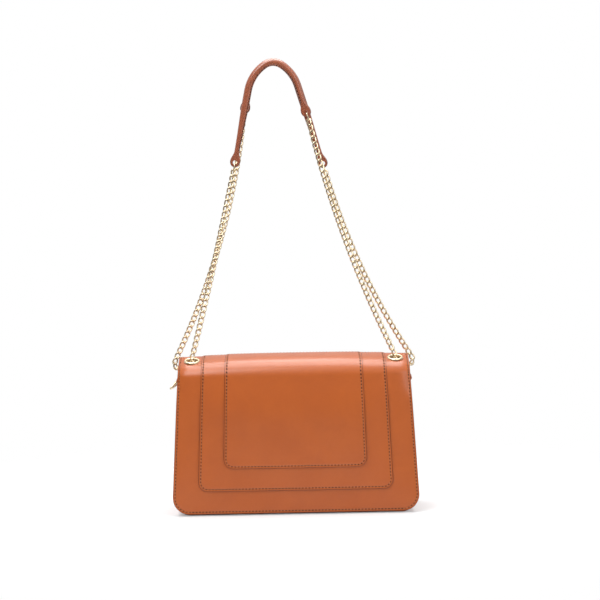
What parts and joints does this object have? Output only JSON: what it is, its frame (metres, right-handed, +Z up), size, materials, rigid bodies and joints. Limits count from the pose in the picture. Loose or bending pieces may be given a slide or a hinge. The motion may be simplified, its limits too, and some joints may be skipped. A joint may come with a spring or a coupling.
{
  "type": "handbag",
  "caption": "Leather flap handbag with stepped stitched flap layers, double curb-chain strap through eyelets, rolled shoulder pads, side D-rings and a magnetic snap",
  "frame": {"origin": "on the floor, under the middle of the pouch's flat base", "axes": "+X to the right seen from the front, +Y from the flap's front towards the back panel, +Z up"},
  "size_m": [0.2482, 0.0768, 0.4525],
  "materials": {
    "flap_leather": "smooth polished tan leather with fine grain",
    "pouch_leather": "smooth tan leather",
    "flap_lining_leather": "matt backing leather",
    "pad_leather": "rolled and stitched tan leather",
    "lining_cloth": "plain woven lining",
    "board": "plain grey bag board",
    "pale_gold": "polished pale gold plating",
    "steel": "satin"
  },
  "bodies": {
    "pouch": {"front_panel": "pouch_leather", "back_panel": "pouch_leather", "gusset": "pouch_leather", "base_stiffener": "board", "lining": "lining_cloth", "slip_pocket": "lining_cloth", "flap_tail": "flap_leather", "gusset_eyelet_left": "pale_gold", "gusset_eyelet_right": "pale_gold", "gusset_washer_left": "pale_gold", "gusset_washer_right": "pale_gold", "snap_socket": "steel", "snap_washer": "steel", "ring_tab_left": "flap_leather", "ring_tab_right": "flap_leather", "ring_rivet_left": "pale_gold", "ring_rivet_right": "pale_gold"},
    "flap": {"flap_fold": "flap_leather", "flap_base": "flap_leather", "flap_lining": "flap_lining_leather", "flap_overlay_mid": "flap_leather", "flap_overlay_inner": "flap_leather", "flap_eyelet_left": "pale_gold", "flap_eyelet_right": "pale_gold", "flap_washer_left": "pale_gold", "flap_washer_right": "pale_gold", "snap_stud": "steel", "chain_inner_left": "pale_gold", "chain_inner_right": "pale_gold"},
    "strap_front": {"chain_front_left": "pale_gold", "chain_front_right": "pale_gold", "pad_front": "pad_leather", "pad_link_front_left": "pale_gold", "pad_link_front_right": "pale_gold"},
    "strap_rear": {"chain_rear_left": "pale_gold", "chain_rear_right": "pale_gold", "pad_rear": "pad_leather", "pad_link_rear_left": "pale_gold", "pad_link_rear_right": "pale_gold"},
    "ring_left": {"d_ring_left": "pale_gold"},
    "ring_right": {"d_ring_right": "pale_gold"}
  },
  "joints": [
    {"name": "flap_hinge", "type": "hinge", "parent": "pouch", "child": "flap", "pos_m": [0, 0.02, 0.13913], "axis": [-1, 0, 0], "range_deg": [0, 90], "deforming": ["flap_fold"]},
    {"name": "strap_front_hinge", "type": "hinge", "parent": "flap", "child": "strap_front", "pos_m": [0, -0.01778, 0.15597], "axis": [1, 0, 0], "range_deg": [0, 90]},
    {"name": "strap_rear_hinge", "type": "hinge", "parent": "flap", "child": "strap_rear", "pos_m": [0, 0.02, 0.13913], "axis": [-1, 0, 0], "range_deg": [0, 45]},
    {"name": "ring_left_hinge", "type": "hinge", "parent": "pouch", "child": "ring_left", "pos_m": [-0.11599, 0, 0.13117], "axis": [0, 0.9945, 0.1045], "range_deg": [-36, 140]},
    {"name": "ring_right_hinge", "type": "hinge", "parent": "pouch", "child": "ring_right", "pos_m": [0.11599, 0, 0.13117], "axis": [0, 0.9945, 0.1045], "range_deg": [0, 130]}
  ]
}
